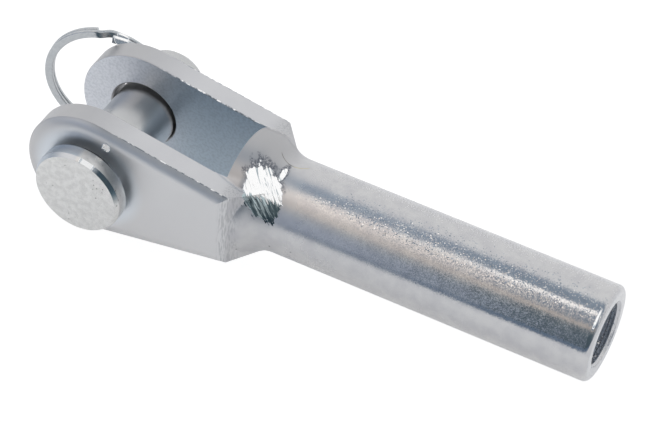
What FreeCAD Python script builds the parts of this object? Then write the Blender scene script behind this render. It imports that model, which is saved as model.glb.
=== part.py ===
import FreeCAD, Part
import math
import os

# Tension rod clevis: a forged fork with a long threaded barrel, a headed pin and a split ring.
# Millimetres. The origin is on the eyes' axis, midway between the ears.
# +X runs along the barrel to its open end, +Y along the pin to its tail, +Z is up.

# Fork
slotWidth = 25.0
earThickness = 8.3
eyeRadius = 21.5
eyeHoleDiameter = 22.3
earTaperDeg = 10.3
slotDepth = 42.8
earRollDepth = 1.6
earRollHeight = 4.0
earInnerRound = 0.4
eyeHoleChamfer = 0.5

# Shoulders, which turn in behind the slot's floor
shoulderRound = 6.0
shoulderTurnDeg = 50.0

# Collar behind the slot's floor, and the neck that leads it into the barrel
collarRadius = 19.2
collarLength = 4.1
collarRound = 7.0
neckTurnDeg = 40.0
neckReach = 9.0
blendRound = 1.5

# Barrel and its tapped bore
barrelDiameter = 30.0
barrelEnd = 161.0
barrelEndRound = 1.8
threadMajorDiameter = 20.0
threadDepth = 60.0
mouthDiameter = 20.6
mouthDepth = 2.4
mouthEdge = 0.3
tapDrillDiameter = 17.5
tapDrillDepth = 70.0
drillPointDeg = 118.0

# Pin, lying low in the eyes
pinDiameter = 20.8
pinSeatGap = 0.05
pinSeatDeg = 280.0
pinTurnDeg = 5.0
headDiameter = 29.0
headThickness = 5.1
headBevelWidth = 0.8
headBevelDepth = 1.3
headStandOff = 2.2
tailStandOut = 13.4
tailChamfer = 1.5
crossHoleDiameter = 6.8
crossHoleFromEar = 3.8
crossHoleChamfer = 0.4

# Split ring: two turns of flat wire that change places at a jog
ringMeanDiameter = 39.2
ringWireWidth = 2.6
ringTurnThickness = 1.22
ringTurnGap = 0.1
ringWireRound = 0.4
ringLeanDeg = 11.0
ringSeatOffset = 1.5
ringJogDeg = 12.0
ringJogPlaceDeg = 88.0
ringEndGapDeg = 2.0
ringEndSpringDeg = 22.0
ringEndSpring = 0.9
sectionStepDeg = 4.0

axisX = FreeCAD.Vector(1, 0, 0)
axisY = FreeCAD.Vector(0, 1, 0)
axisZ = FreeCAD.Vector(0, 0, 1)
origin = FreeCAD.Vector(0, 0, 0)

forkHalfWidth = slotWidth / 2 + earThickness
barrelRadius = barrelDiameter / 2
pinRadius = pinDiameter / 2
pinDrop = (eyeHoleDiameter - pinDiameter) / 2 - pinSeatGap
pinX = pinDrop * math.cos(math.radians(pinSeatDeg))
pinZ = pinDrop * math.sin(math.radians(pinSeatDeg))
crossHoleY = forkHalfWidth + crossHoleFromEar
crossHolePlace = FreeCAD.Vector(pinX, crossHoleY, pinZ)


def line(start, end):
    return Part.LineSegment(start, end).toShape()


def centredArc(centreX, centreY, radius, startDeg, endDeg, place):
    points = []
    for share in (0.0, 0.5, 1.0):
        angle = math.radians(startDeg + (endDeg - startDeg) * share)
        points.append(place(centreX + radius * math.cos(angle), centreY + radius * math.sin(angle)))
    return Part.Arc(*points).toShape()


def inPlan(x, y):
    return FreeCAD.Vector(x, y, 0)


def inSide(x, z):
    return FreeCAD.Vector(x, 0, z)


# A closed outline from corners, as edges
def outline(corners, place):
    edges = []
    for index, corner in enumerate(corners):
        edges.append(line(place(*corner), place(*corners[(index + 1) % len(corners)])))
    return edges


def turned(edges, axis):
    return Part.Face(Part.Wire(Part.__sortEdges__(edges))).revolve(origin, axis, 360)


# The fork's section through one ear margin after the other: flat on the rim, crisp where the rolled
# margins start and tangent to the ears' outer faces
def rolledSection(innerRadius, place):
    rollTurn = 2 * math.atan2(earRollDepth, earRollHeight)
    rollRadius = earRollHeight / math.sin(rollTurn)
    rollDeg = math.degrees(rollTurn)
    rimEnd = forkHalfWidth - earRollDepth
    faceEnd = eyeRadius - earRollHeight
    centreY = forkHalfWidth - rollRadius
    edges = [line(place(eyeRadius, -rimEnd), place(eyeRadius, rimEnd))]
    edges.append(centredArc(faceEnd, centreY, rollRadius, 90, 90 - rollDeg, place))
    edges.append(centredArc(faceEnd, -centreY, rollRadius, 270, 270 + rollDeg, place))
    for side in (1, -1):
        edges.append(line(place(faceEnd, side * forkHalfWidth), place(innerRadius, side * forkHalfWidth)))
    edges.append(line(place(innerRadius, forkHalfWidth), place(innerRadius, -forkHalfWidth)))
    return edges


# Side view of the fork: a round eye whose flanks run in towards the barrel
def sideBlock(length):
    flanks = []
    for side in (1, -1):
        def place(radius, y):
            return FreeCAD.Vector(0, y, side * radius)

        edges = Part.__sortEdges__(rolledSection(-2 * eyeRadius, place))
        flank = Part.Face(Part.Wire(edges)).extrude(axisX * length * 2)
        flank.rotate(origin, axisY, side * earTaperDeg)
        flanks.append(flank)
    eye = turned(rolledSection(0, inPlan), axisY)
    return eye.fuse(flanks[0].common(flanks[1]))


# Plan view of the fork: flat flanks, then round shoulders that turn in towards the neck
def planBlock(length):
    turn = math.radians(shoulderTurnDeg)
    front = -eyeRadius - earThickness
    arcX = slotDepth + shoulderRound * math.sin(turn)
    arcY = forkHalfWidth - shoulderRound * (1 - math.cos(turn))
    slopeEnd = arcY - (length - arcX) * math.tan(turn)
    edges = []
    for side in (1, -1):
        centreY = side * (forkHalfWidth - shoulderRound)
        edges.append(line(inPlan(front, side * forkHalfWidth), inPlan(slotDepth, side * forkHalfWidth)))
        edges.append(centredArc(slotDepth, centreY, shoulderRound, side * 90, side * (90 - shoulderTurnDeg), inPlan))
        edges.append(line(inPlan(arcX, side * arcY), inPlan(length, side * slopeEnd)))
    edges.append(line(inPlan(length, slopeEnd), inPlan(length, -slopeEnd)))
    edges.append(line(inPlan(front, -forkHalfWidth), inPlan(front, forkHalfWidth)))
    face = Part.Face(Part.Wire(Part.__sortEdges__(edges)))
    face.translate(axisZ * -eyeRadius * 1.5)
    return face.extrude(axisZ * eyeRadius * 3)


# Collar, neck and barrel, turned about the barrel's axis
def turnedBody():
    turn = math.radians(neckTurnDeg)
    collarEnd = slotDepth + collarLength
    roundX = collarEnd + collarRound * math.sin(turn)
    roundR = collarRadius - collarRound * (1 - math.cos(turn))
    neckRound = (roundR - barrelRadius) / (1 - math.cos(turn))
    neckEnd = roundX + neckRound * math.sin(turn)
    start = slotDepth - collarLength
    endRoundX = barrelEnd - barrelEndRound
    edges = [
        line(inPlan(start, 0), inPlan(start, collarRadius)),
        line(inPlan(start, collarRadius), inPlan(collarEnd, collarRadius)),
        centredArc(collarEnd, collarRadius - collarRound, collarRound, 90, 90 - neckTurnDeg, inPlan),
        centredArc(neckEnd, barrelRadius + neckRound, neckRound, 270 - neckTurnDeg, 270, inPlan),
        line(inPlan(neckEnd, barrelRadius), inPlan(endRoundX, barrelRadius)),
        centredArc(endRoundX, barrelRadius - barrelEndRound, barrelEndRound, 90, 0, inPlan),
        line(inPlan(barrelEnd, barrelRadius - barrelEndRound), inPlan(barrelEnd, 0)),
        line(inPlan(barrelEnd, 0), inPlan(start, 0)),
    ]
    return turned(edges, axisX)


# Tapped hole: a plain mouth, the threaded length at its major diameter and the drill's own end
def boreTool():
    majorRadius = threadMajorDiameter / 2
    drillRadius = tapDrillDiameter / 2
    mouthRadius = mouthDiameter / 2
    pointLength = drillRadius / math.tan(math.radians(drillPointDeg / 2))
    mouthEnd = barrelEnd - mouthDepth
    threadEnd = mouthEnd - threadDepth
    drillEnd = barrelEnd - tapDrillDepth
    beyond = barrelEnd + barrelEndRound
    corners = [
        (drillEnd - pointLength, 0),
        (drillEnd, drillRadius),
        (threadEnd - (majorRadius - drillRadius), drillRadius),
        (threadEnd, majorRadius),
        (mouthEnd - (mouthRadius - majorRadius), majorRadius),
        (mouthEnd, mouthRadius),
        (barrelEnd - mouthEdge, mouthRadius),
        (barrelEnd, mouthRadius + mouthEdge),
        (beyond, mouthRadius + mouthEdge),
        (beyond, 0),
    ]
    return turned(outline(corners, inPlan), axisX)


# One ear's hole, chamfered on both faces, as a turned tool about the pin's direction
def eyeHoleTool(side):
    radius = eyeHoleDiameter / 2
    flare = radius + eyeHoleChamfer
    inner = slotWidth / 2
    corners = [
        (0, inner - earThickness / 2),
        (flare, inner - earThickness / 2),
        (flare, inner),
        (radius, inner + eyeHoleChamfer),
        (radius, forkHalfWidth - eyeHoleChamfer),
        (flare, forkHalfWidth),
        (flare, forkHalfWidth + earThickness / 2),
        (0, forkHalfWidth + earThickness / 2),
    ]
    return turned(outline([(x, side * y) for x, y in corners], inPlan), axisY)


# The turned body's radius near the collar, from the slot's floor to where the neck begins to hollow
def turnedRadius(x):
    beyond = max(0, x - slotDepth - collarLength)
    return collarRadius - collarRound + math.sqrt(collarRound ** 2 - min(beyond, collarRound) ** 2)


# The seams where the forged fork runs into the turned body, outside the slot
def neckSeams(solid):
    collarStart = slotDepth - collarLength
    neckStart = slotDepth + collarLength + collarRound * math.sin(math.radians(neckTurnDeg))
    nearly = 0.1
    seams = []
    for edge in solid.Edges:
        middle = edge.valueAt((edge.FirstParameter + edge.LastParameter) / 2)
        box = edge.BoundBox
        atTurn = collarStart - nearly < middle.x < neckStart - nearly
        onTurn = abs(math.hypot(middle.y, middle.z) - turnedRadius(middle.x)) < nearly / 5
        inSlot = abs(middle.y) < slotWidth / 2 + nearly and middle.x < slotDepth + nearly / 5
        ownSeam = abs(middle.z) < nearly and box.ZLength < nearly
        if atTurn and onTurn and not inSlot and not ownSeam and box.XLength > nearly / 5:
            seams.append(edge)
    return seams


# The slot's own rims along the ears' inner faces
def slotRims(fork):
    rims = []
    for edge in fork.Edges:
        box = edge.BoundBox
        onEar = abs(abs(box.YMin) - slotWidth / 2) < 0.001 and box.YLength < 0.001
        if onEar and box.XLength > slotDepth / 4:
            rims.append(edge)
    return rims


def clevisBody():
    length = slotDepth + shoulderRound * math.sin(math.radians(shoulderTurnDeg)) + neckReach
    fork = sideBlock(length).common(planBlock(length))
    slotHeight = eyeRadius * 3
    slotStart = -eyeRadius * 2
    corner = FreeCAD.Vector(slotStart, -slotWidth / 2, -slotHeight / 2)
    slot = Part.makeBox(slotDepth - slotStart, slotWidth, slotHeight, corner)
    fork = fork.cut(slot)
    fork = fork.makeFillet(earInnerRound, slotRims(fork))
    body = fork.fuse(turnedBody()).removeSplitter()
    body = body.makeFillet(blendRound, neckSeams(body)).cut(slot)
    for side in (1, -1):
        body = body.cut(eyeHoleTool(side))
    return body.cut(boreTool())


# Headed pin with a chamfered tail and a cross hole for the ring
def clevisPin():
    headY = -forkHalfWidth - headStandOff
    tailY = forkHalfWidth + tailStandOut
    headRadius = headDiameter / 2
    corners = [
        (0, headY - headThickness),
        (headRadius - headBevelWidth, headY - headThickness),
        (headRadius, headY - headThickness + headBevelDepth),
        (headRadius, headY),
        (pinRadius, headY),
        (pinRadius, tailY - tailChamfer),
        (pinRadius - tailChamfer, tailY),
        (0, tailY),
    ]
    pin = turned(outline(corners, inPlan), axisY)
    holeRadius = crossHoleDiameter / 2
    flare = holeRadius + crossHoleChamfer
    mouth = math.sqrt(pinRadius ** 2 - holeRadius ** 2)
    corners = [
        (0, -pinDiameter),
        (flare, -pinDiameter),
        (flare, -mouth - crossHoleChamfer),
        (holeRadius, -mouth + crossHoleChamfer),
        (holeRadius, mouth - crossHoleChamfer),
        (flare, mouth + crossHoleChamfer),
        (flare, pinDiameter),
        (0, pinDiameter),
    ]
    hole = turned(outline(corners, inSide), axisZ)
    hole.rotate(origin, axisY, -pinTurnDeg)
    hole.translate(axisY * crossHoleY)
    pin = pin.cut(hole)
    pin.translate(FreeCAD.Vector(pinX, 0, pinZ))
    return pin


# The wire's section at one place of the ring, which lies about the Y axis while it is made
def wireSection(angleDeg, height, radius):
    halfWidth = ringWireWidth / 2
    halfThickness = ringTurnThickness / 2
    cornerWidth = halfWidth - ringWireRound
    cornerThickness = halfThickness - ringWireRound

    def place(u, v):
        return FreeCAD.Vector(radius + u, height + v, 0)

    edges = [
        line(place(halfWidth, -cornerThickness), place(halfWidth, cornerThickness)),
        centredArc(cornerWidth, cornerThickness, ringWireRound, 0, 90, place),
        line(place(cornerWidth, halfThickness), place(-cornerWidth, halfThickness)),
        centredArc(-cornerWidth, cornerThickness, ringWireRound, 90, 180, place),
        line(place(-halfWidth, cornerThickness), place(-halfWidth, -cornerThickness)),
        centredArc(-cornerWidth, -cornerThickness, ringWireRound, 180, 270, place),
        line(place(-cornerWidth, -halfThickness), place(cornerWidth, -halfThickness)),
        centredArc(cornerWidth, -cornerThickness, ringWireRound, 270, 360, place),
    ]
    wire = Part.Wire(edges)
    wire.rotate(origin, axisY, -angleDeg)
    return wire


def easedStep(share):
    return 0.5 - 0.5 * math.cos(math.pi * share)


# A stretch of wire whose height changes from one layer to another
def risingWire(startDeg, endDeg, startHeight, endHeight):
    count = max(3, round(abs(endDeg - startDeg) / sectionStepDeg))
    sections = []
    for index in range(count + 1):
        share = index / count
        height = startHeight + (endHeight - startHeight) * easedStep(share)
        sections.append(wireSection(startDeg + (endDeg - startDeg) * share, height, ringMeanDiameter / 2))
    return Part.makeLoft(sections, True, False)


def flatWire(startDeg, endDeg, height):
    face = Part.Face(wireSection(startDeg, height, ringMeanDiameter / 2))
    return face.revolve(origin, axisY, startDeg - endDeg)


def splitRing():
    layer = (ringTurnThickness + ringTurnGap) / 2
    jogStart = ringJogPlaceDeg + ringJogDeg / 2
    jogEnd = ringJogPlaceDeg - ringJogDeg / 2
    nearEnd = jogEnd - ringEndGapDeg
    farEnd = jogStart + ringEndGapDeg
    springEnd = nearEnd - ringEndSpringDeg
    pieces = [
        risingWire(nearEnd, springEnd, -layer - ringEndSpring, -layer),
        flatWire(springEnd, jogStart - 360, -layer),
        risingWire(jogStart, jogEnd, -layer, layer),
        flatWire(jogEnd, farEnd - 360, layer),
    ]
    ring = pieces[0].multiFuse(pieces[1:]).removeSplitter()
    ring.translate(axisX * (ringSeatOffset - ringMeanDiameter / 2))
    ring.rotate(origin, axisZ, ringLeanDeg)
    ring.rotate(origin, axisY, -pinTurnDeg)
    ring.translate(crossHolePlace)
    return ring


if __name__ == "__main__":
    os.makedirs("parts", exist_ok=True)
    for name, shape in (("clevis_body", clevisBody()), ("clevis_pin", clevisPin()), ("split_ring", splitRing())):
        print(name, len(shape.Solids), shape.isValid(), round(shape.Volume, 1))
        shape.Solids[0].exportStep("parts/" + name + ".step")
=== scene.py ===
import math

import bmesh
import bpy
from mathutils import Matrix, Vector


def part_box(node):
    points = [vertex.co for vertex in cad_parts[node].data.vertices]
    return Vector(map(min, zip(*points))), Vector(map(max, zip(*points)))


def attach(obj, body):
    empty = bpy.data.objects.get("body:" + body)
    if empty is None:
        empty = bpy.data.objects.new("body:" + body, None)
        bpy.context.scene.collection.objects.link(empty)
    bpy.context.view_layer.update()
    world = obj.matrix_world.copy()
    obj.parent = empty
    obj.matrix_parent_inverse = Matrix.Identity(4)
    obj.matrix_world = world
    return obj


# Tension rod clevis, dressed for its picture. Metres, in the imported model's own frame
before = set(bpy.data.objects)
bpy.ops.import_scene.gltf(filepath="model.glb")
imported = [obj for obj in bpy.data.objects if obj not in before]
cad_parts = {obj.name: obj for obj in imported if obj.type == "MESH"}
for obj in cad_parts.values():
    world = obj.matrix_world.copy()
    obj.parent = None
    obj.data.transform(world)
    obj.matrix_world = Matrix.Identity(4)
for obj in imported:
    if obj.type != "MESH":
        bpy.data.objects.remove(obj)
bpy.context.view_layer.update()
mm = 0.001
degree = math.radians(1)
softStep = {"interpolation_type": "SMOOTHSTEP"}
toSweep = Vector((0.395, 0.013, 0.918))     # the surface normal that mirrors the white sweep to the camera


# An sRGB hex colour as linear light, brightened or dimmed by its strength
def linearColour(text, strength=1.0):
    channels = []
    for start in (1, 3, 5):
        value = int(text[start:start + 2], 16) / 255
        channels.append(strength * (value / 12.92 if value <= 0.04045 else ((value + 0.055) / 1.055) ** 2.4))
    return (*channels, 1.0)


# Adds one node. Its settings are its own choices, such as an operation. What goes into it is a value, a socket or
# a whole node, which stands for its first output in use
def addNode(tree, kind, settings=None, inputs=None):
    node = tree.nodes.new("ShaderNode" + kind)
    for name, value in (settings or {}).items():
        setattr(node, name, value)
    for place, value in (inputs or {}).items():
        if isinstance(value, bpy.types.Node):
            value = next(socket for socket in value.outputs if socket.enabled)
        if isinstance(value, bpy.types.NodeSocket):
            tree.links.new(value, node.inputs[place])
        else:
            node.inputs[place].default_value = value
    return node


# Joins several patterns into one
def joined(tree, operation, patterns):
    whole = patterns[0]
    for pattern in patterns[1:]:
        whole = addNode(tree, "Math", {"operation": operation}, {0: whole, 1: pattern})
    return whole


# Where all of the masks hold at once
def whereAll(tree, *masks):
    return joined(tree, "MULTIPLY", masks)


# Where any of them holds
def whereAny(tree, *masks):
    return joined(tree, "MAXIMUM", masks)


# A soft zone of one coordinate: empty at the first value of its rise and full at the second, then full at the first
# value of its fall and empty at the second. The unit is 1 where the coordinate isn't a length
def zoneOf(tree, coordinate, rise=None, fall=None, unit=mm):
    edges = [rise] if rise else []
    if fall:
        edges.append(fall[::-1])
    steps = [addNode(tree, "MapRange", softStep, {0: coordinate, 1: empty * unit, 2: full * unit})
             for empty, full in edges]
    return whereAll(tree, *steps)


# A strip between two places in mm, with soft sides of the fade's width outside it
def stripOf(tree, coordinate, strip, fade):
    low, high = strip
    return zoneOf(tree, coordinate, rise=(low - fade, low), fall=(high, high + fade))


# Lays a coat over a tone where its mask holds. Each tone is a hex colour, a linear one or what feeds it
def layCoat(tree, under, mask, coat, most=1.0):
    share = mask if most == 1.0 else whereAll(tree, mask, most)
    first, second = [linearColour(tone) if isinstance(tone, str) else tone for tone in (under, coat)]
    return addNode(tree, "Mix", {"data_type": "RGBA"}, {0: share, 6: first, 7: second})


# What a noise of a size in mm is fed
def noiseInputs(coords, size, detail=3.0):
    return {"Vector": coords, "Scale": 1 / (size * mm), "Detail": detail, "Roughness": 0.55}


def lengthOf(tree, across, along):
    flat = addNode(tree, "CombineXYZ", {}, {0: across, 1: along})
    return addNode(tree, "VectorMath", {"operation": "LENGTH"}, {0: flat})


spots = {
    "edgeSize": 0.7,            # mm, of the noise that makes an edge uneven
    "edgeDetail": 2.0,
    "solid": 0.5,               # of the radius; the rest fades out
}


# A spot: its middle and its radius in mm, and how uneven its edge is as a share of the radius
def spotOf(tree, coords, place, uneven=0.0):
    *centre, radius = [value * mm for value in place]
    reach = addNode(tree, "VectorMath", {"operation": "DISTANCE"}, {0: coords, 1: centre})
    if uneven:
        ragged = addNode(tree, "TexNoise", {}, noiseInputs(coords, spots["edgeSize"], spots["edgeDetail"]))
        shift = addNode(tree, "Math", {"operation": "MULTIPLY_ADD"},
                        {0: ragged, 1: 2 * uneven * radius, 2: -uneven * radius})
        reach = addNode(tree, "Math", {"operation": "ADD"}, {0: reach, 1: shift})
    return zoneOf(tree, reach, fall=(spots["solid"] * radius, radius), unit=1)


# Leans the surface to a fixed normal where its share is 1
def leanTo(tree, share, normal, target):
    mixed = addNode(tree, "Mix", {"data_type": "VECTOR"}, {0: share, 4: normal, 5: target})
    return addNode(tree, "VectorMath", {"operation": "NORMALIZE"}, {0: mixed})


def newMaterial(name):
    material = bpy.data.materials.new(name)
    material.use_nodes = True
    material.node_tree.nodes.clear()
    return material, material.node_tree


def finishPiece(name, work, material, body):
    mesh = bpy.data.meshes.new(name)
    work.to_mesh(mesh)
    work.free()
    mesh.materials.append(material)
    for face in mesh.polygons:
        face.use_smooth = False
    piece = bpy.data.objects.new(name, mesh)
    bpy.context.scene.collection.objects.link(piece)
    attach(piece, body)


# The camera stands where the photograph was taken from: place in mm, then its three axes
cameraSettings = {
    "place": (295.670, -503.902, 549.160),
    "right": (0.88640521, 0.45895584, 0.06037661),
    "up": (-0.36178662, 0.60548359, 0.70887239),
    "back": (0.28878408, -0.65019163, 0.70274790),
    "lens": 141.74,
    "sensor": 36.0,
    "sight": (0.01, 50),        # m, the nearest and the farthest that it sees
}


def placeCamera():
    data = bpy.data.cameras.new("camera")
    data.lens = cameraSettings["lens"]
    data.sensor_width = cameraSettings["sensor"]
    data.clip_start, data.clip_end = cameraSettings["sight"]
    camera = bpy.data.objects.new("camera", data)
    axes = Matrix((cameraSettings["right"], cameraSettings["up"], cameraSettings["back"])).transposed()
    camera.matrix_world = Matrix.Translation(Vector(cameraSettings["place"]) * mm) @ axes.to_4x4()
    bpy.context.scene.collection.objects.link(camera)
    bpy.context.scene.camera = camera


placeCamera()
print("camera placed")


# A table of matt white paper, over-exposed for the eye. The metal sees it in its own light, shadows and all, and
# beyond its front edge a darker floor
paperTable = {
    "drop": 0.3,                # mm under the lowest point of the object
    "size": 6.0,                # m
    "glowSeen": 0.93,           # its own glow for the eye, which keeps its shadows faint
    "shade": 0.22,
    "white": 0.90,              # its white as the metal sees it
    "glow": 0.31,               # what the rest of the lit room adds to it as the metal sees it
    "front": (-0.190, -0.150),  # m, across which the floor goes over to the paper
    "floor": "#6C7E93",
}


def whitePaper():
    material, tree = newMaterial("matt white paper")
    coords = addNode(tree, "TexCoord").outputs["Object"]
    y = addNode(tree, "SeparateXYZ", {}, {0: coords}).outputs[1]
    white, shade = [(value, value, value, 1.0) for value in (paperTable["white"], paperTable["shade"])]
    onPaper = zoneOf(tree, y, rise=paperTable["front"], unit=1)
    tone = layCoat(tree, paperTable["floor"], onPaper, white)
    matt = addNode(tree, "BsdfDiffuse", {}, {0: tone})
    lit = addNode(tree, "Emission", {}, {0: tone, "Strength": paperTable["glow"]})
    forMetal = addNode(tree, "AddShader", {}, {0: matt, 1: lit})
    shaded = addNode(tree, "BsdfDiffuse", {}, {0: shade})
    glow = addNode(tree, "Emission", {}, {"Strength": paperTable["glowSeen"]})
    forEye = addNode(tree, "AddShader", {}, {0: shaded, 1: glow})
    eye = addNode(tree, "LightPath").outputs["Is Camera Ray"]
    both = addNode(tree, "MixShader", {}, {0: eye, 1: forMetal, 2: forEye})
    addNode(tree, "OutputMaterial", {}, {0: both})
    return material


def buildTable():
    low = min(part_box(name)[0].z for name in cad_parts)
    work = bmesh.new()
    bmesh.ops.create_grid(work, x_segments=1, y_segments=1, size=paperTable["size"] / 2)
    bmesh.ops.translate(work, verts=work.verts, vec=(0, 0, low - paperTable["drop"] * mm))
    mesh = bpy.data.meshes.new("studioTable")
    work.to_mesh(mesh)
    work.free()
    table = bpy.data.objects.new("studioTable", mesh)
    bpy.context.scene.collection.objects.link(table)
    mesh.materials.append(whitePaper())


# The room's light by direction: how far round the barrel's axis, from +Y upwards, as (degrees, colour, strength).
# A white sweep stands behind the object and a warm light over it, and the slate between them draws the barrel's
# dark bands. The room has one look towards the fork's side and a crisper one towards the barrel's end
room = {
    "seam": -90,                # degrees, where the turn round the barrel starts
    "forkSide": [
        (-90, "#FFFFFF", 0.98), (40, "#FFFFFF", 0.98), (62, "#FFFFFF", 0.98), (73, "#A9B7C6", 1.25),
        (93, "#A0B0C2", 0.95), (105, "#FFF3E8", 1.65), (118, "#FFF3E8", 1.65), (127, "#FFF3E8", 1.05),
        (138, "#FFF9F3", 0.95), (150, "#D8DEE6", 1.02), (162, "#BEC6D6", 1.20), (182, "#BEC6D6", 1.25),
        (190, "#FFFFFF", 0.95),
    ],
    "endSide": [
        (-90, "#FFFFFF", 0.98), (40, "#FFFFFF", 0.98), (62, "#FFFFFF", 0.9604), (71, "#A3B2C2", 0.88),
        (100, "#A3B2C2", 0.80), (126, "#A3B2C2", 0.70), (130, "#FFF3E8", 0.66), (134, "#FFF3E8", 0.66),
        (139, "#8A98A2", 0.70), (148, "#8095A2", 0.48), (183, "#8095A2", 0.48), (189, "#FFFFFF", 0.92),
    ],
    "change": (-0.285, -0.205),         # of a direction's x, where the end side's look starts
    "panel": "#FFFAF3",                 # a bright panel overhead, in sight towards the barrel's end only
    "panelGlow": 2.1,
    "panelRise": (91, 95),
    "panelFall": (101, 105),
    "panelStart": (-0.250, -0.205),
    "walls": "#C8CDD2",                 # along the barrel's axis
    "wallStart": (0.8, 1.0),
    "wallShare": 0.8,
    "backdrop": "#FDFDFD",              # what the eye sees
}


def fillRamp(node, stops):
    ramp = node.color_ramp
    while len(ramp.elements) < len(stops):
        ramp.elements.new(0.5)
    for element, (degrees, text, strength) in zip(ramp.elements, stops):
        element.position = (degrees - room["seam"]) / 360
        element.color = linearColour(text, strength)
    return node


def buildRoom():
    world = bpy.data.worlds.new("studioRoom")
    bpy.context.scene.world = world
    world.use_nodes = True
    tree = world.node_tree
    tree.nodes.clear()
    direction = addNode(tree, "TexCoord").outputs["Generated"]
    x, y, z = addNode(tree, "SeparateXYZ", {}, {0: direction}).outputs
    # The turn as a share from 0 to 1, with a whole turn added so that it is never below 0
    angle = addNode(tree, "Math", {"operation": "ARCTAN2"}, {0: z, 1: y})
    turns = addNode(tree, "Math", {"operation": "MULTIPLY_ADD"},
                    {0: angle, 1: 1 / math.tau, 2: 1 - room["seam"] / 360})
    share = addNode(tree, "Math", {"operation": "FRACT"}, {0: turns})
    forkSide, endSide = [fillRamp(addNode(tree, "ValToRGB", {}, {0: share}), room[side])
                         for side in ("forkSide", "endSide")]
    light = layCoat(tree, forkSide, zoneOf(tree, x, rise=room["change"], unit=1), endSide)
    degrees = addNode(tree, "Math", {"operation": "MULTIPLY_ADD"}, {0: share, 1: 360, 2: room["seam"]})
    onPanel = whereAll(tree, zoneOf(tree, degrees, rise=room["panelRise"], fall=room["panelFall"], unit=1),
                       zoneOf(tree, x, rise=room["panelStart"], unit=1))
    light = layCoat(tree, light, onPanel, linearColour(room["panel"], room["panelGlow"]))
    sideways = addNode(tree, "Math", {"operation": "ABSOLUTE"}, {0: x})
    onWalls = zoneOf(tree, sideways, rise=room["wallStart"], unit=1)
    light = layCoat(tree, light, onWalls, room["walls"], room["wallShare"])
    eye = addNode(tree, "LightPath").outputs["Is Camera Ray"]
    background = addNode(tree, "Background", {}, {0: layCoat(tree, light, eye, room["backdrop"]), "Strength": 1.0})
    addNode(tree, "OutputWorld", {}, {0: background})


buildTable()
buildRoom()
bpy.context.scene.view_settings.view_transform = "Standard"
print("studio built")


# The clevis body is zinc plated forged steel: pale grey with a slight blue, dull on the fork and shinier towards
# the barrel's end. Here and below, sizes and places are mm along the body (x), across it (y) and up (z); wide is
# the distance from its middle plane
forging = {
    "plate": "#CACACB",
    "dull": "#BFBFC2",
    "grainSize": 0.9,
    "grainHeight": 0.004,
    "mottleSize": 5.0,
    "mottleDetail": 4.0,
    "mottleHeight": 0.03,
    "mottleEdge": (0.3, 0.7),
    "cloudSize": 14.0,
    "cloudEdge": (0.3, 0.7),
    "cloudRough": 0.02,         # how far the roughness goes up and down by it
    "neck": (54, 66),           # where the fork's roughness goes over to the barrel's
    "barrel": (66, 150),
    "roughAtFork": 0.42,
    "roughAtNeck": 0.27,
    "roughAtEnd": 0.15,
    "pit": "#7C7F81",
    "pitMost": 0.8,
    "pitUneven": 1.2,
    "pits": [                   # placed where the photograph shows them: middle and radius
        (58.7, -14.3, -4.4, 0.5), (49.1, -16.9, -8.4, 0.4), (66.0, -14.7, -2.8, 0.35), (30.0, 17.0, 17.0, 0.4),
    ],
    "glint": (6.5, -20.8, 15.4, 1.9),   # on the ear beside the pin's head
    "glintUneven": 0.6,
    "endGlintTurn": (110.0, 131.0),     # degrees round the barrel, on its rounded end
    "endGlintFade": 5.73,
    "endGlintStrip": (159.25, 159.65),
    "endGlintSides": 0.25,
}


# Where a point of the body lies, as sockets
def placesOf(tree):
    coords = addNode(tree, "TexCoord").outputs["Object"]
    x, y, z = addNode(tree, "SeparateXYZ", {}, {0: coords}).outputs
    return {
        "coords": coords,
        "x": x,
        "y": y,
        "z": z,
        "wide": addNode(tree, "Math", {"operation": "ABSOLUTE"}, {0: y}),
        "turn": addNode(tree, "Math", {"operation": "ARCTAN2"}, {0: z, 1: y}),     # round the barrel
        "fromEye": lengthOf(tree, x, z),        # from the eyes' axis
    }


def platingRoughness(tree, at):
    cloud = addNode(tree, "TexNoise", {}, noiseInputs(at["coords"], forging["cloudSize"]))
    neckStart, neckEnd = [place * mm for place in forging["neck"]]
    barrelStart, barrelEnd = [place * mm for place in forging["barrel"]]
    low, high = forging["cloudEdge"]
    parts = [
        (at["x"], neckStart, neckEnd, forging["roughAtFork"], forging["roughAtNeck"]),
        (at["x"], barrelStart, barrelEnd, 0.0, forging["roughAtEnd"] - forging["roughAtNeck"]),
        (cloud, low, high, -forging["cloudRough"], forging["cloudRough"]),
    ]
    return joined(tree, "ADD", [addNode(tree, "MapRange", softStep, dict(enumerate(part))) for part in parts])


# The fork's tones, with painted shade in the slot and round the pin's head, each laid over the ones before
forkTones = {
    "earRound": "#B8B8BA",      # the ears' edges, darker on their round ends
    "earLong": "#D6D6D8",
    "earChange": (-6, 18),
    "earWide": (11.5, 12.4),
    "earEnd": (40, 50),
    "earMost": 0.8,
    "flankRound": "#C6C6C7",    # the ears' outer faces and margins, paler along their long part
    "flankLong": "#D7D7D8",
    "flankChange": (-12, 6),
    "flankWide": (19.2, 19.7),
    "flankEnd": (46, 52),
    "flankMost": 0.85,
    "collar": "#B2B2B4",        # the collar's top, behind the slot, is darker
    "collarHeight": (9, 13),
    "collarEnd": (52, 60),
    "collarWide": (11.0, 12.4),
    "slotNear": "#D8DBE1",      # between the ears the tone is painted bluer, and darker deep in the slot: painted shade
    "slotDeepShade": "#BECBD6",
    "slotChange": (-8, 22),
    "slotWide": (12.52, 12.6),
    "slotEnd": (42.5, 42.7),
    "slate": "#6E7A84",         # speckles there, and the painted shade on the arrises
    "speckleEdge": (0.40, 0.66),
    "speckleMost": 0.2,
    "headShadeTint": "#E6EEF6",        # round the pin's head, a painted bluish tint over the shade that the head casts on the ear
    "headShadeReach": (15.0, 20.0),
    "headShadeSide": (-20.2, -20.5),
    "headShadeMost": 0.6,
}


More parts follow.
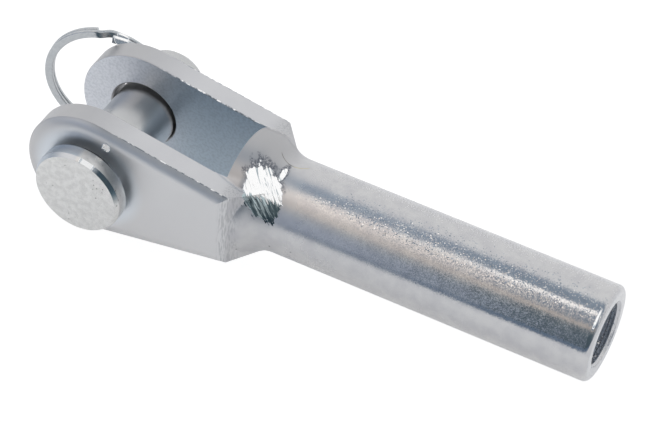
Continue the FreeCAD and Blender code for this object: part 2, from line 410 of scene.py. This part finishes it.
def dressFork(tree, at, tone, grain):
    look = forkTones
    for part, first, last in (("ear", "earRound", "earLong"), ("flank", "flankRound", "flankLong")):
        change = zoneOf(tree, at["x"], rise=look[part + "Change"])
        zone = whereAll(tree, zoneOf(tree, at["wide"], rise=look[part + "Wide"]),
                        zoneOf(tree, at["x"], fall=look[part + "End"]))
        tone = layCoat(tree, tone, zone, layCoat(tree, look[first], change, look[last]), look[part + "Most"])
    onCollar = whereAll(tree, zoneOf(tree, at["z"], rise=look["collarHeight"]),
                        zoneOf(tree, at["x"], fall=look["collarEnd"]),
                        zoneOf(tree, at["wide"], fall=look["collarWide"]))
    tone = layCoat(tree, tone, onCollar, look["collar"])
    # Painted shade in the slot: its tone turns darker and bluer towards the slot's floor
    slotTone = layCoat(tree, look["slotNear"], zoneOf(tree, at["x"], rise=look["slotChange"]), look["slotDeepShade"])
    speckled = zoneOf(tree, grain, rise=look["speckleEdge"], unit=1)
    slotTone = layCoat(tree, slotTone, speckled, look["slate"], look["speckleMost"])
    inSlot = whereAll(tree, zoneOf(tree, at["wide"], fall=look["slotWide"]),
                      zoneOf(tree, at["x"], fall=look["slotEnd"]))
    tone = layCoat(tree, tone, inSlot, slotTone)
    # Painted shade tint round the pin's head, on the ear's outer face
    headShadeTint = whereAll(tree, zoneOf(tree, at["fromEye"], fall=look["headShadeReach"]),
                      zoneOf(tree, at["y"], rise=look["headShadeSide"]))
    return layCoat(tree, tone, headShadeTint, look["headShadeTint"], look["headShadeMost"])


# A scratch on top of the neck: an arc in plan, dark at first and then warm and bright
scratch = {
    "centre": (57.2, 7.2, 0.0),
    "radius": 6.15,
    "width": 0.16,
    "solid": 0.3,               # of its width; the rest fades out
    "end": (2.8, 3.6),
    "first": "#8A8983",
    "last": "#D8CDA8",
    "change": (57.0, 58.5),
    "depth": 0.08,
}


def scratchOf(tree, at):
    plan = addNode(tree, "CombineXYZ", {}, {0: at["x"], 1: at["y"]})
    reach = addNode(tree, "VectorMath", {"operation": "DISTANCE"}, {0: plan, 1: Vector(scratch["centre"]) * mm})
    off = addNode(tree, "Math", {"operation": "SUBTRACT"}, {0: reach, 1: scratch["radius"] * mm})
    off = addNode(tree, "Math", {"operation": "ABSOLUTE"}, {0: off})
    onArc = zoneOf(tree, off, fall=(scratch["solid"] * scratch["width"], scratch["width"]))
    onTop = addNode(tree, "Math", {"operation": "GREATER_THAN"}, {0: at["z"], 1: 0.0})
    mask = whereAll(tree, onArc, zoneOf(tree, at["y"], fall=scratch["end"]), onTop)
    change = zoneOf(tree, at["x"], rise=scratch["change"])
    return mask, layCoat(tree, scratch["first"], change, scratch["last"])


# Rubbed upright lines where the shoulders turn in: a noise drawn out in height
shoulderLines = {
    "size": 0.42,
    "drawnOut": (1.0, 1.0, 0.13),
    "start": (43.5, 45.5),
    "end": (48.0, 51.0),
    "wide": (12.0, 15.0),
    "edge": (0.46, 0.62),
    "tone": "#85888D",
    "most": 0.36,
    "height": 0.012,
}


def shoulderLinesOf(tree, at):
    upright = addNode(tree, "Mapping", {}, {"Vector": at["coords"], "Scale": shoulderLines["drawnOut"]})
    lines = addNode(tree, "TexNoise", {}, noiseInputs(upright.outputs[0], shoulderLines["size"]))
    onShoulder = whereAll(tree, zoneOf(tree, at["x"], rise=shoulderLines["start"], fall=shoulderLines["end"]),
                          zoneOf(tree, at["wide"], rise=shoulderLines["wide"]))
    return onShoulder, lines


# The arrises of the slot and of the ears' outer margins carry painted glints and painted shade by turns, along a
# noise
arrises = {
    "glintShadeSize": 1.5,
    "glintShadeDetail": 4.0,
    "inner": (12.58, 12.85),
    "innerStart": (2, 12),
    "outer": (19.05, 19.25),
    "outerStart": (4, 14),
    "fade": 0.08,
    "lowEnd": (45.6, 46.0),     # low down they end here, on top further on
    "top": (12.4, 12.8),
    "end": (49.0, 50.0),
    "offHead": (13.5, 14.0),
    "bright": (0.55, 0.60),
    "shaded": (0.44, 0.50),
    "shadedMost": 0.8,
}


def arrisesOf(tree, at):
    inner = whereAll(tree, stripOf(tree, at["y"], arrises["inner"], arrises["fade"]),
                     zoneOf(tree, at["x"], rise=arrises["innerStart"]))
    outer = whereAll(tree, stripOf(tree, at["wide"], arrises["outer"], arrises["fade"]),
                     zoneOf(tree, at["x"], rise=arrises["outerStart"]))
    onFork = whereAny(tree, zoneOf(tree, at["x"], fall=arrises["lowEnd"]),
                      zoneOf(tree, at["z"], rise=arrises["top"]))
    arris = whereAll(tree, whereAny(tree, inner, outer), onFork, zoneOf(tree, at["x"], fall=arrises["end"]),
                     zoneOf(tree, at["fromEye"], rise=arrises["offHead"]))
    glintShadeNoise = addNode(tree, "TexNoise", {}, noiseInputs(at["coords"], arrises["glintShadeSize"], arrises["glintShadeDetail"]))
    bright = whereAll(tree, arris, zoneOf(tree, glintShadeNoise, rise=arrises["bright"], unit=1))
    shaded = whereAll(tree, arris, zoneOf(tree, glintShadeNoise, fall=arrises["shaded"], unit=1))
    return bright, shaded


def endGlintOf(tree, at):
    (first, last), fade = forging["endGlintTurn"], forging["endGlintFade"]
    onTurn = zoneOf(tree, at["turn"], rise=(first - fade, first + fade), fall=(last - fade, last + fade), unit=degree)
    return whereAll(tree, onTurn, stripOf(tree, at["x"], forging["endGlintStrip"], forging["endGlintSides"]))


# The ground patch on the neck: a ragged oval and a sliver beside it, streaked by the grinder, with torn metal along
# its upper edge and round the sliver. Its white above a slanting split and its dark below are a painted reflection.
# Its place is mm along the barrel and degrees round it; edges are shares of its size
patch = {
    "place": (54.2, 133.0),
    "size": (6.3, 26.0),
    "edge": (0.94, 1.0),
    "skew": -0.4,
    "sliverPlace": (56.5, 103.0),
    "sliverSize": (1.0, 12.0),
    "sliverEdge": (0.75, 0.85),
    "raggedSize": 2.0,
    "raggedDetail": 5.0,
    "ragged": 0.9,
    "frayed": 0.7,              # how far the streaks reach over the oval's edge
    "streaks": {"Scale": 5.5, "Detail": 5.0, "Roughness": 0.62, "Distortion": 0.5},
    "streakStretch": 0.11,      # they run aslant, from the fork's side above to the barrel's side below
    "white": "#FFFFFF",
    "whiteStreak": "#A9B4B9",
    "whiteEdge": (0.53, 0.61),
    "dark": "#506168",
    "darkStreak": "#B2C0C4",
    "darkEdge": (0.46, 0.57),
    "splitPlace": 0.14,
    "splitSlope": 0.10,
    "splitFrayed": 1.4,
    "splitEdge": (-0.03, 0.04),
    "tornSize": 0.45,
    "tornEdge": (0.40, 0.52),
    "tornReach": (1.15, 1.35),
    "tornUpper": (-0.6, -0.25),
    "tornSliver": (1.2, 1.6),
    "torn": "#5E626C",
    "tornMost": 0.8,
    "rough": 0.16,
    "crumple": (0.95, 0.95, 0.5),
}


# How far along the barrel and round it a point lies from a place, in units of the place's size
def offFrom(tree, at, place, size):
    off = []
    for coordinate, middle, extent, unit in zip((at["x"], at["turn"]), place, size, (mm, degree)):
        off.append(addNode(tree, "Math", {"operation": "MULTIPLY_ADD"},
                           {0: coordinate, 1: 1 / (extent * unit), 2: -middle / extent}))
    return off


def streaksOf(tree, along, around):
    summed = addNode(tree, "Math", {"operation": "ADD"}, {0: along, 1: around})
    lengthwise = addNode(tree, "Math", {"operation": "MULTIPLY"}, {0: summed, 1: patch["streakStretch"]})
    sideways = addNode(tree, "Math", {"operation": "SUBTRACT"}, {0: along, 1: around})
    slant = addNode(tree, "CombineXYZ", {}, {0: lengthwise, 1: sideways})
    return addNode(tree, "TexNoise", {}, {"Vector": slant, **patch["streaks"]})


# Moves a value by a pattern times an amount: not at all where the pattern is 0.5, up above it and down below it
def frayedBy(tree, value, pattern, amount):
    centred = addNode(tree, "Math", {"operation": "SUBTRACT"}, {0: value, 1: amount / 2})
    return addNode(tree, "Math", {"operation": "MULTIPLY_ADD"}, {0: pattern, 1: amount, 2: centred})


# Gives the patch's mask, its tone of painted reflection, the torn metal's mask and the streaks' colour, which
# crumples the normal
def groundPatch(tree, at):
    along, around = offFrom(tree, at, patch["place"], patch["size"])
    streaks = streaksOf(tree, along, around)
    streak = streaks.outputs[0]
    noise = addNode(tree, "TexNoise", {}, noiseInputs(at["coords"], patch["raggedSize"], patch["raggedDetail"]))
    ragged = addNode(tree, "Math", {"operation": "MULTIPLY_ADD"},
                     {0: noise, 1: patch["ragged"], 2: -patch["ragged"] / 2})
    skewed = addNode(tree, "Math", {"operation": "MULTIPLY_ADD"}, {0: along, 1: patch["skew"], 2: around})
    frayed = frayedBy(tree, ragged, streak, patch["frayed"])
    oval = addNode(tree, "Math", {"operation": "ADD"}, {0: lengthOf(tree, along, skewed), 1: frayed})
    sliver = lengthOf(tree, *offFrom(tree, at, patch["sliverPlace"], patch["sliverSize"]))
    sliver = addNode(tree, "Math", {"operation": "ADD"}, {0: sliver, 1: ragged})
    mask = whereAny(tree, zoneOf(tree, oval, fall=patch["edge"], unit=1),
                    zoneOf(tree, sliver, fall=patch["sliverEdge"], unit=1))
    upperRim = whereAll(tree, zoneOf(tree, oval, fall=patch["tornReach"], unit=1),
                        zoneOf(tree, around, fall=patch["tornUpper"], unit=1))
    rim = whereAny(tree, upperRim, zoneOf(tree, sliver, fall=patch["tornSliver"], unit=1))
    tearing = addNode(tree, "TexNoise", {}, noiseInputs(at["coords"], patch["tornSize"]))
    torn = whereAll(tree, rim, zoneOf(tree, tearing, rise=patch["tornEdge"], unit=1))
    line = addNode(tree, "Math", {"operation": "SUBTRACT"}, {0: around, 1: patch["splitPlace"]})
    line = addNode(tree, "Math", {"operation": "MULTIPLY_ADD"}, {0: along, 1: patch["splitSlope"], 2: line})
    below = zoneOf(tree, frayedBy(tree, line, streak, patch["splitFrayed"]), rise=patch["splitEdge"], unit=1)
    # Painted reflection: white above the split and dark below it, both streaked
    white, dark = [layCoat(tree, patch[name], zoneOf(tree, streak, rise=patch[name + "Edge"], unit=1),
                           patch[name + "Streak"]) for name in ("white", "dark")]
    return mask, layCoat(tree, white, below, dark), torn, streaks.outputs["Color"]


# Flat plating crystals, drawn coarser than the real 0.1 mm so that they show. Each leans its own way, and one in
# five on the barrel's top leans more and sparkles beside the panel's reflection
crystals = {
    "size": 0.27,
    "tilt": 0.05,
    "tiltShare": (0.4, 1.0),    # from the fork to the barrel
    "tiltChange": (56, 110),
    "shuffle": 37.0,
    "common": 0.80,             # the share of crystals that doesn't sparkle
    "sparkTilt": 0.55,
    "sparkRough": 0.06,
    "sparkTurn": (119, 126),    # degrees round the barrel, where the sparkling ends
    "sparkStart": (60, 80),
}


def crystalLean(tree, at):
    cells = addNode(tree, "TexVoronoi", {}, {"Vector": at["coords"], "Scale": 1 / (crystals["size"] * mm)})
    colour = cells.outputs["Color"]
    lean = addNode(tree, "VectorMath", {"operation": "SUBTRACT"}, {0: colour, 1: (0.5, 0.5, 0.5)})
    pick = addNode(tree, "SeparateColor", {}, {0: colour})
    shuffled = addNode(tree, "Math", {"operation": "MULTIPLY"}, {0: pick, 1: crystals["shuffle"]})
    shuffled = addNode(tree, "Math", {"operation": "FRACT"}, {0: shuffled})
    chosen = addNode(tree, "Math", {"operation": "GREATER_THAN"}, {0: shuffled, 1: crystals["common"]})
    spark = whereAll(tree, chosen, zoneOf(tree, at["turn"], fall=crystals["sparkTurn"], unit=degree),
                     zoneOf(tree, at["x"], rise=crystals["sparkStart"]))
    tilt = addNode(tree, "Math", {"operation": "MULTIPLY_ADD"},
                   {0: spark, 1: crystals["sparkTilt"], 2: crystals["tilt"]})
    start, end = [place * mm for place in crystals["tiltChange"]]
    share = addNode(tree, "MapRange", softStep, dict(enumerate((at["x"], start, end, *crystals["tiltShare"]))))
    tilt = addNode(tree, "Math", {"operation": "MULTIPLY"}, {0: tilt, 1: share})
    return addNode(tree, "VectorMath", {"operation": "SCALE"}, {0: lean, "Scale": tilt}), spark


def forgedZinc():
    material, tree = newMaterial("zinc plated forged steel")
    at = placesOf(tree)
    grain = addNode(tree, "TexNoise", {}, noiseInputs(at["coords"], forging["grainSize"]))
    mottle = addNode(tree, "TexNoise", {}, noiseInputs(at["coords"], forging["mottleSize"], forging["mottleDetail"]))
    mottled = zoneOf(tree, mottle, rise=forging["mottleEdge"], unit=1)
    tone = layCoat(tree, forging["plate"], mottled, forging["dull"])
    tone = dressFork(tree, at, tone, grain)
    scratched, scratchTone = scratchOf(tree, at)
    tone = layCoat(tree, tone, scratched, scratchTone)
    onShoulder, lines = shoulderLinesOf(tree, at)
    rubbed = whereAll(tree, onShoulder, zoneOf(tree, lines, rise=shoulderLines["edge"], unit=1))
    tone = layCoat(tree, tone, rubbed, shoulderLines["tone"], shoulderLines["most"])
    for place in forging["pits"]:
        pit = spotOf(tree, at["coords"], place, forging["pitUneven"])
        tone = layCoat(tree, tone, pit, forging["pit"], forging["pitMost"])
    # Painted shade and painted glints along the arrises, then painted glints beside the pin's head and on the
    # barrel's rounded end
    bright, shaded = arrisesOf(tree, at)
    tone = layCoat(tree, tone, shaded, forkTones["slate"], arrises["shadedMost"])
    bright = whereAny(tree, bright, spotOf(tree, at["coords"], forging["glint"], forging["glintUneven"]),
                      endGlintOf(tree, at))
    ground, patchReflectionTone, torn, wander = groundPatch(tree, at)
    tone = layCoat(tree, tone, torn, patch["torn"], patch["tornMost"])
    # The patch's painted reflection
    tone = layCoat(tree, tone, ground, patchReflectionTone)
    # The glints are painted white highlights
    tone = layCoat(tree, tone, bright, "#FFFFFF")
    # The reliefs and their heights in mm, summed for one bump
    height = 0.0
    for relief, size in ((grain, forging["grainHeight"]), (mottle, forging["mottleHeight"]),
                         (whereAll(tree, onShoulder, lines), shoulderLines["height"]),
                         (scratched, -scratch["depth"])):
        height = addNode(tree, "Math", {"operation": "MULTIPLY_ADD"}, {0: relief, 1: size * mm, 2: height})
    bump = addNode(tree, "Bump", {}, {"Strength": 1.0, "Distance": 1.0, "Height": height})
    lean, spark = crystalLean(tree, at)
    leaning = addNode(tree, "VectorMath", {"operation": "ADD"}, {0: bump, 1: lean})
    # The ground patch and the glints lean to the white sweep instead
    crumple = Vector(patch["crumple"])
    wandering = addNode(tree, "VectorMath", {"operation": "MULTIPLY_ADD"},
                        {0: wander, 1: crumple, 2: toSweep - crumple / 2})
    toLight = whereAny(tree, ground, bright)
    rough = platingRoughness(tree, at)
    for share, value in ((spark, crystals["sparkRough"]), (toLight, patch["rough"])):
        rough = addNode(tree, "Mix", {"data_type": "FLOAT"}, {0: share, 2: rough, 3: value})
    metal = addNode(tree, "BsdfPrincipled", {}, {"Base Color": tone, "Metallic": 1.0, "Roughness": rough,
                                                 "Normal": leanTo(tree, toLight, leaning, wandering)})
    addNode(tree, "OutputMaterial", {}, {0: metal})
    return material


# The pin is zinc plated turned steel: smooth and a little warm, its head softly mottled with tiny dark pits.
# Turns are degrees round its axis, from the barrel's side upwards
turnedPin = {
    "axis": (0.12, -0.69),      # x and z
    "shank": "#C4C5C6",
    "shankSheen": "#FFFFFF",         # between the ears its barrel side is painted white: a painted highlight
    "shankSheenTurn": (42, 62),
    "shankSheenEnd": (12.5, 13.0),
    "headStart": (-22.5, -23.5),
    "head": "#DDDDDC",
    "dull": "#CFCFCE",
    "mottleSize": 2.0,
    "mottleDetail": 5.0,
    "mottleEdge": (0.35, 0.65),
    "mottleHeight": 0.03,
    "roughness": 0.27,
    "bevelSide": (-26.7, -26.8),
    "bevelReach": (13.65, 13.7),
    "bevelUpper": "#B2BAC4",    # the rim is painted darker at its top left, then come a painted white glint and a painted dark reflection
    "upperTurn": (84, 92),
    "glintRise": (64, 68),
    "glintFall": (80, 88),
    "bevelDark": "#5F7079",
    "darkRise": (4, 26),
    "darkFall": (56, 64),
    "pit": "#6A6B69",
    "pitSpacing": 1.1,
    "pitEdge": (0.12, 0.26),
    "pitMiddle": (10.0, -28.1, 4.0),    # they crowd round this place
    "pitReach": (2.0, 8.0),
    "pitRare": (0.45, 0.97),
}


# Gives the tone with the head's rim painted with highlight and shade, and the mask of the glint on its bevel
def paintRimLight(tree, tone, turn, away, y):
    look = turnedPin
    onRim = zoneOf(tree, away, rise=look["bevelReach"])
    onBevel = whereAll(tree, onRim, zoneOf(tree, y, rise=look["bevelSide"]))
    upper = whereAll(tree, onRim, zoneOf(tree, turn, rise=look["upperTurn"], unit=1))
    tone = layCoat(tree, tone, upper, look["bevelUpper"])
    # Painted dark reflection on the bevel, then a painted white glint
    dark, glint = [whereAll(tree, zoneOf(tree, turn, rise=look[name + "Rise"], fall=look[name + "Fall"], unit=1),
                            onBevel) for name in ("dark", "glint")]
    tone = layCoat(tree, tone, dark, look["bevelDark"])
    return layCoat(tree, tone, glint, "#FFFFFF"), glint


def headPits(tree, coords):
    cells = addNode(tree, "TexVoronoi", {}, {"Vector": coords, "Scale": 1 / (turnedPin["pitSpacing"] * mm)})
    pick = addNode(tree, "SeparateColor", {}, {0: cells.outputs["Color"]})
    middle = Vector(turnedPin["pitMiddle"]) * mm
    reach = addNode(tree, "VectorMath", {"operation": "DISTANCE"}, {0: coords, 1: middle})
    near, far = [place * mm for place in turnedPin["pitReach"]]
    rare = addNode(tree, "MapRange", softStep, dict(enumerate((reach, near, far, *turnedPin["pitRare"]))))
    chosen = addNode(tree, "Math", {"operation": "GREATER_THAN"}, {0: pick, 1: rare})
    return whereAll(tree, zoneOf(tree, cells.outputs["Distance"], fall=turnedPin["pitEdge"], unit=1), chosen)


def turnedZinc():
    look = turnedPin
    material, tree = newMaterial("zinc plated turned steel")
    coords = addNode(tree, "TexCoord").outputs["Object"]
    x, y, z = addNode(tree, "SeparateXYZ", {}, {0: coords}).outputs
    fromX, fromZ = [addNode(tree, "Math", {"operation": "SUBTRACT"}, {0: place, 1: middle * mm})
                    for place, middle in zip((x, z), look["axis"])]
    turn = addNode(tree, "Math", {"operation": "ARCTAN2"}, {0: fromZ, 1: fromX})
    turn = addNode(tree, "Math", {"operation": "DEGREES"}, {0: turn})
    mottle = addNode(tree, "TexNoise", {}, noiseInputs(coords, look["mottleSize"], look["mottleDetail"]))
    headTone = layCoat(tree, look["head"], zoneOf(tree, mottle, rise=look["mottleEdge"], unit=1), look["dull"])
    # Painted highlight: the shank turns white on its barrel side, between the ears
    shankSheen = whereAll(tree, zoneOf(tree, turn, fall=look["shankSheenTurn"], unit=1), zoneOf(tree, y, fall=look["shankSheenEnd"]))
    shankTone = layCoat(tree, look["shank"], shankSheen, look["shankSheen"])
    onHead = zoneOf(tree, y, rise=look["headStart"])
    tone = layCoat(tree, shankTone, onHead, headTone)
    tone, glint = paintRimLight(tree, tone, turn, lengthOf(tree, fromX, fromZ), y)
    tone = layCoat(tree, tone, whereAll(tree, headPits(tree, coords), onHead), look["pit"])
    onlyHead = whereAll(tree, mottle, onHead)
    height = addNode(tree, "Math", {"operation": "MULTIPLY"}, {0: onlyHead, 1: look["mottleHeight"] * mm})
    bump = addNode(tree, "Bump", {}, {"Strength": 1.0, "Distance": 1.0, "Height": height})
    metal = addNode(tree, "BsdfPrincipled", {}, {"Base Color": tone, "Metallic": 1.0, "Roughness": look["roughness"],
                                                 "Normal": leanTo(tree, glint, bump, toSweep)})
    addNode(tree, "OutputMaterial", {}, {0: metal})
    return material


# The ring is drawn spring steel wire: bright and smooth, with a faint waviness that breaks its reflections. Its jog
# is softened, and it glints beside it
springWire = {
    "bright": "#CBCED0",
    "dull": "#ABAFB3",
    "waveSize": 0.9,
    "waveHeight": 0.03,
    "roughness": 0.18,
    "jog": (-18.2, 20.6, 17.8, 4.2),        # middle and radius
    "jogMost": 0.45,
    "glint": (-13.0, 21.1, 17.9, 3.2),
}


def springSteel():
    material, tree = newMaterial("drawn spring steel wire")
    coords = addNode(tree, "TexCoord").outputs["Object"]
    wave = addNode(tree, "TexNoise", {}, noiseInputs(coords, springWire["waveSize"]))
    glint = spotOf(tree, coords, springWire["glint"])
    jog = whereAll(tree, spotOf(tree, coords, springWire["jog"]), springWire["jogMost"])
    tone = layCoat(tree, springWire["bright"], wave, springWire["dull"])
    tone = layCoat(tree, tone, glint, "#FFFFFF")
    bump = addNode(tree, "Bump", {}, {"Strength": 1.0, "Distance": springWire["waveHeight"] * mm, "Height": wave})
    normal = leanTo(tree, whereAny(tree, glint, jog), bump, toSweep)
    metal = addNode(tree, "BsdfPrincipled", {}, {"Base Color": tone, "Metallic": 1.0,
                                                 "Roughness": springWire["roughness"], "Normal": normal})
    addNode(tree, "OutputMaterial", {}, {0: metal})
    return material


def dress(nodeName, material):
    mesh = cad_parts[nodeName].data
    mesh.materials.clear()
    mesh.materials.append(material)


dress("clevis_body", forgedZinc())
dress("clevis_pin", turnedZinc())
dress("split_ring", springSteel())
print("materials made")


# The rod's thread in the barrel: one long ridge, spun from its section, sunk a little into the plain bore. It is
# cut steel: bluish grey, torn a little by the tap
rodThread = {
    "pitch": 2.5,
    "rootRadius": 10.02,
    "crestRadius": 8.65,
    "rootWidth": 2.05,
    "crestWidth": 0.55,
    "start": 158.6,
    "turns": 23.5,
    "stepsPerTurn": 64,
    "cut": "#EEF4FB",
    "torn": "#C6D1DE",
    "tornSize": 0.5,
    "tornHeight": 0.08,
    "metallic": 0.1,
    "roughness": 0.5,
}


def cutThreadSteel():
    look = rodThread
    material, tree = newMaterial("cut thread steel")
    coords = addNode(tree, "TexCoord").outputs["Object"]
    torn = addNode(tree, "TexNoise", {}, noiseInputs(coords, look["tornSize"]))
    tone = layCoat(tree, look["cut"], torn, look["torn"])
    bump = addNode(tree, "Bump", {}, {"Strength": 1.0, "Distance": look["tornHeight"] * mm, "Height": torn})
    metal = addNode(tree, "BsdfPrincipled", {}, {"Base Color": tone, "Metallic": look["metallic"],
                                                 "Roughness": look["roughness"], "Normal": bump})
    addNode(tree, "OutputMaterial", {}, {0: metal})
    return material


def cutThread():
    root, crest = rodThread["rootWidth"] / 2, rodThread["crestWidth"] / 2
    corners = [(root, rodThread["rootRadius"]), (crest, rodThread["crestRadius"]),
               (-crest, rodThread["crestRadius"]), (-root, rodThread["rootRadius"])]
    work = bmesh.new()
    points = [work.verts.new(((rodThread["start"] - root + x) * mm, 0, radius * mm)) for x, radius in corners]
    section = work.faces.new(points)
    steps = round(rodThread["turns"] * rodThread["stepsPerTurn"])
    bmesh.ops.spin(work, geom=[section, *section.edges, *section.verts], cent=(0, 0, 0), axis=(1, 0, 0),
                   dvec=(-rodThread["pitch"] * mm / rodThread["stepsPerTurn"], 0, 0),
                   angle=math.tau * rodThread["turns"], steps=steps, use_merge=False, use_duplicate=False)
    bmesh.ops.recalc_face_normals(work, faces=work.faces)
    finishPiece("rod_thread_ridge", work, cutThreadSteel(), "clevis")


# The mouth's edge, broken by a wide chamfer that faces outwards: its section as (mm along the barrel, radius)
mouthChamfer = {
    "section": [(160.93, 10.62), (160.05, 9.55), (159.6, 9.6), (159.2, 10.42), (160.4, 10.9)],
    "steps": 96,
}


def breakMouth(material):
    work = bmesh.new()
    points = [work.verts.new((x * mm, 0, radius * mm)) for x, radius in mouthChamfer["section"]]
    edges = [work.edges.new((points[index - 1], points[index])) for index in range(len(points))]
    bmesh.ops.spin(work, geom=[*points, *edges], cent=(0, 0, 0), axis=(1, 0, 0), dvec=(0, 0, 0), angle=math.tau,
                   steps=mouthChamfer["steps"], use_merge=True, use_duplicate=False)
    bmesh.ops.recalc_face_normals(work, faces=work.faces)
    finishPiece("mouth_chamfer", work, material, "clevis")


cutThread()
print("thread cut")
breakMouth(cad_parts["clevis_body"].data.materials[0])
print("mouth broken")
